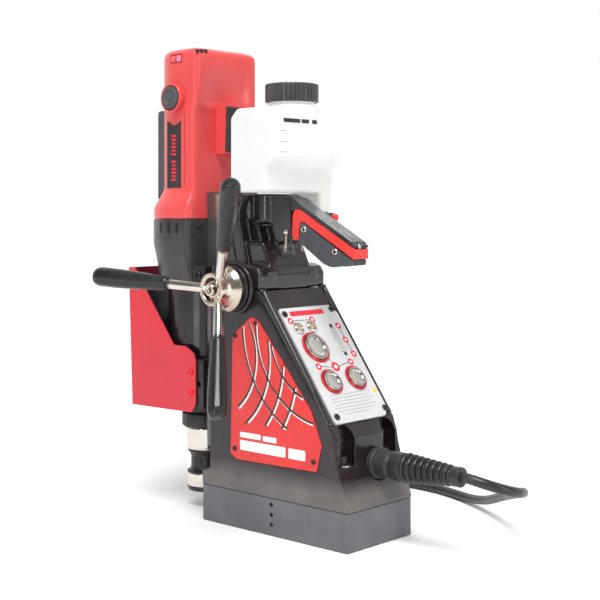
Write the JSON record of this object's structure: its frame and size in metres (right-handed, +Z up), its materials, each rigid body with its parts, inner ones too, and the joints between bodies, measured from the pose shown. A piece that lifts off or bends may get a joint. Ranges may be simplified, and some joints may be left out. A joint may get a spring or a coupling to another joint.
{
  "type": "magnetic drill press",
  "caption": "Magnet-based portable drill press: electromagnet foot, sloping body with control panel, sliding drill head, three-arm feed capstan, coolant tank and chip guard.",
  "frame": {"origin": "centre of the magnet's bottom face", "axes": "+Z up, the drill spindle towards -Y, the control panel towards +Y, the feed capstan towards +X"},
  "size_m": [0.3045, 0.3825, 0.4258],
  "materials": {
    "magnet_steel": "dark grey satin steel",
    "potting": "black potting resin",
    "black_casting": "cast aluminium under gloss black paint",
    "red_plate": "red printed sheet metal",
    "white_panel": "white printed sheet metal",
    "steel": "ground steel",
    "chrome": "polished chrome",
    "black_oxide": "black oxide steel",
    "red_plastic": "red moulded plastic",
    "grey_plastic": "textured dark grey plastic",
    "black_plastic": "glossy black plastic",
    "gearbox_paint": "cast aluminium under dark grey paint",
    "guard_red": "red enamelled sheet steel",
    "tank_plastic": "translucent white polyethylene",
    "clear_lens": "milky clear lens",
    "circuit_board": "green circuit board",
    "bronze": "sintered bronze",
    "windings": "laminated iron and enamelled copper",
    "cord_rubber": "black rubber"
  },
  "bodies": {
    "frame": {"magnet_housing": "magnet_steel", "magnet_coil": "potting", "magnet_bolt_left": "black_oxide", "magnet_bolt_right": "black_oxide", "main_casting": "black_casting", "side_plate_right": "red_plate", "side_plate_left": "red_plate", "control_panel": "white_panel", "bezel_magnet": "red_plastic", "bezel_start": "red_plastic", "bezel_stop": "red_plastic", "lamp_power": "steel", "lamp_ready": "steel", "load_strip": "clear_lens", "control_board": "circuit_board", "guide_rail_right": "steel", "guide_rail_left": "steel", "feed_bush": "bronze", "hub_flange": "black_casting", "upper_housing": "black_casting", "handle_core": "black_plastic", "handle_panel_right": "grey_plastic", "handle_panel_left": "grey_plastic", "tank": "tank_plastic", "tap_body": "black_plastic", "cable_gland": "black_plastic", "strain_relief": "cord_rubber", "mains_cable": "cord_rubber", "cable_coil": "cord_rubber", "plug": "cord_rubber"},
    "carriage": {"slide_carriage": "steel", "feed_rack": "steel", "guard_bracket_right": "black_oxide", "guard_bracket_left": "black_oxide", "gearbox_housing": "gearbox_paint", "spindle_housing": "black_casting", "motor_housing": "red_plastic", "brush_cap_right": "black_plastic", "brush_cap_left": "black_plastic", "front_cover": "grey_plastic", "stator": "windings"},
    "capstan": {"feed_pinion": "steel", "capstan_hub": "chrome", "hub_nut": "chrome", "arm_rod_1": "chrome", "arm_rod_2": "chrome", "arm_rod_3": "chrome", "arm_grip_1": "black_plastic", "arm_grip_2": "black_plastic", "arm_grip_3": "black_plastic"},
    "spindle": {"spindle": "steel", "arbor": "steel"},
    "layshaft": {"layshaft": "steel"},
    "armature": {"armature": "windings"},
    "guard": {"guard": "guard_red"},
    "button_magnet": {"button_magnet": "steel"},
    "button_start": {"button_start": "steel"},
    "button_stop": {"button_stop": "steel"},
    "tank_cap": {"tank_cap": "black_plastic"},
    "tap_knob": {"tap_knob": "red_plastic"}
  },
  "joints": [
    {"name": "feed_slide", "type": "slide", "parent": "frame", "child": "carriage", "axis": [0, 0, 1], "range_m": [0, 0.14]},
    {"name": "capstan_turn", "type": "hinge", "parent": "frame", "child": "capstan", "pos_m": [0, -0.0426, 0.2087], "axis": [1, 0, 0], "range_deg": [-446.5, 0.5]},
    {"name": "spindle_turn", "type": "hinge", "parent": "carriage", "child": "spindle", "pos_m": [0, -0.124, 0], "axis": [0, 0, 1], "continuous": true},
    {"name": "layshaft_turn", "type": "hinge", "parent": "carriage", "child": "layshaft", "pos_m": [-0.022, -0.124, 0], "axis": [0, 0, 1], "continuous": true},
    {"name": "armature_turn", "type": "hinge", "parent": "carriage", "child": "armature", "pos_m": [0, -0.124, 0], "axis": [0, 0, 1], "continuous": true},
    {"name": "guard_shift", "type": "slide", "parent": "carriage", "child": "guard", "axis": [0, 0, 1], "range_m": [-0.02, 0.015]},
    {"name": "button_magnet_press", "type": "slide", "parent": "frame", "child": "button_magnet", "axis": [0, -0.8125, -0.583], "range_m": [0, 0.002], "stiffness_N_per_m": 400, "springref_m": -0.003},
    {"name": "button_start_press", "type": "slide", "parent": "frame", "child": "button_start", "axis": [0, -0.8125, -0.583], "range_m": [0, 0.002], "stiffness_N_per_m": 400, "springref_m": -0.003},
    {"name": "button_stop_press", "type": "slide", "parent": "frame", "child": "button_stop", "axis": [0, -0.8125, -0.583], "range_m": [0, 0.002], "stiffness_N_per_m": 400, "springref_m": -0.003},
    {"name": "cap_lift", "type": "slide", "parent": "frame", "child": "tank_cap", "axis": [0, 0, 1], "range_m": [0, 0.03]},
    {"name": "tap_turn", "type": "hinge", "parent": "frame", "child": "tap_knob", "pos_m": [-0.033, 0.0066, 0.27], "axis": [0, 1, 0], "range_deg": [-90, 0]}
  ],
  "couplings": [
    {"joint": "capstan_turn", "follows": "feed_slide", "rad_per_m": -55.556},
    {"joint": "layshaft_turn", "follows": "spindle_turn", "ratio": -2.6667},
    {"joint": "armature_turn", "follows": "spindle_turn", "ratio": 5.7143}
  ]
}
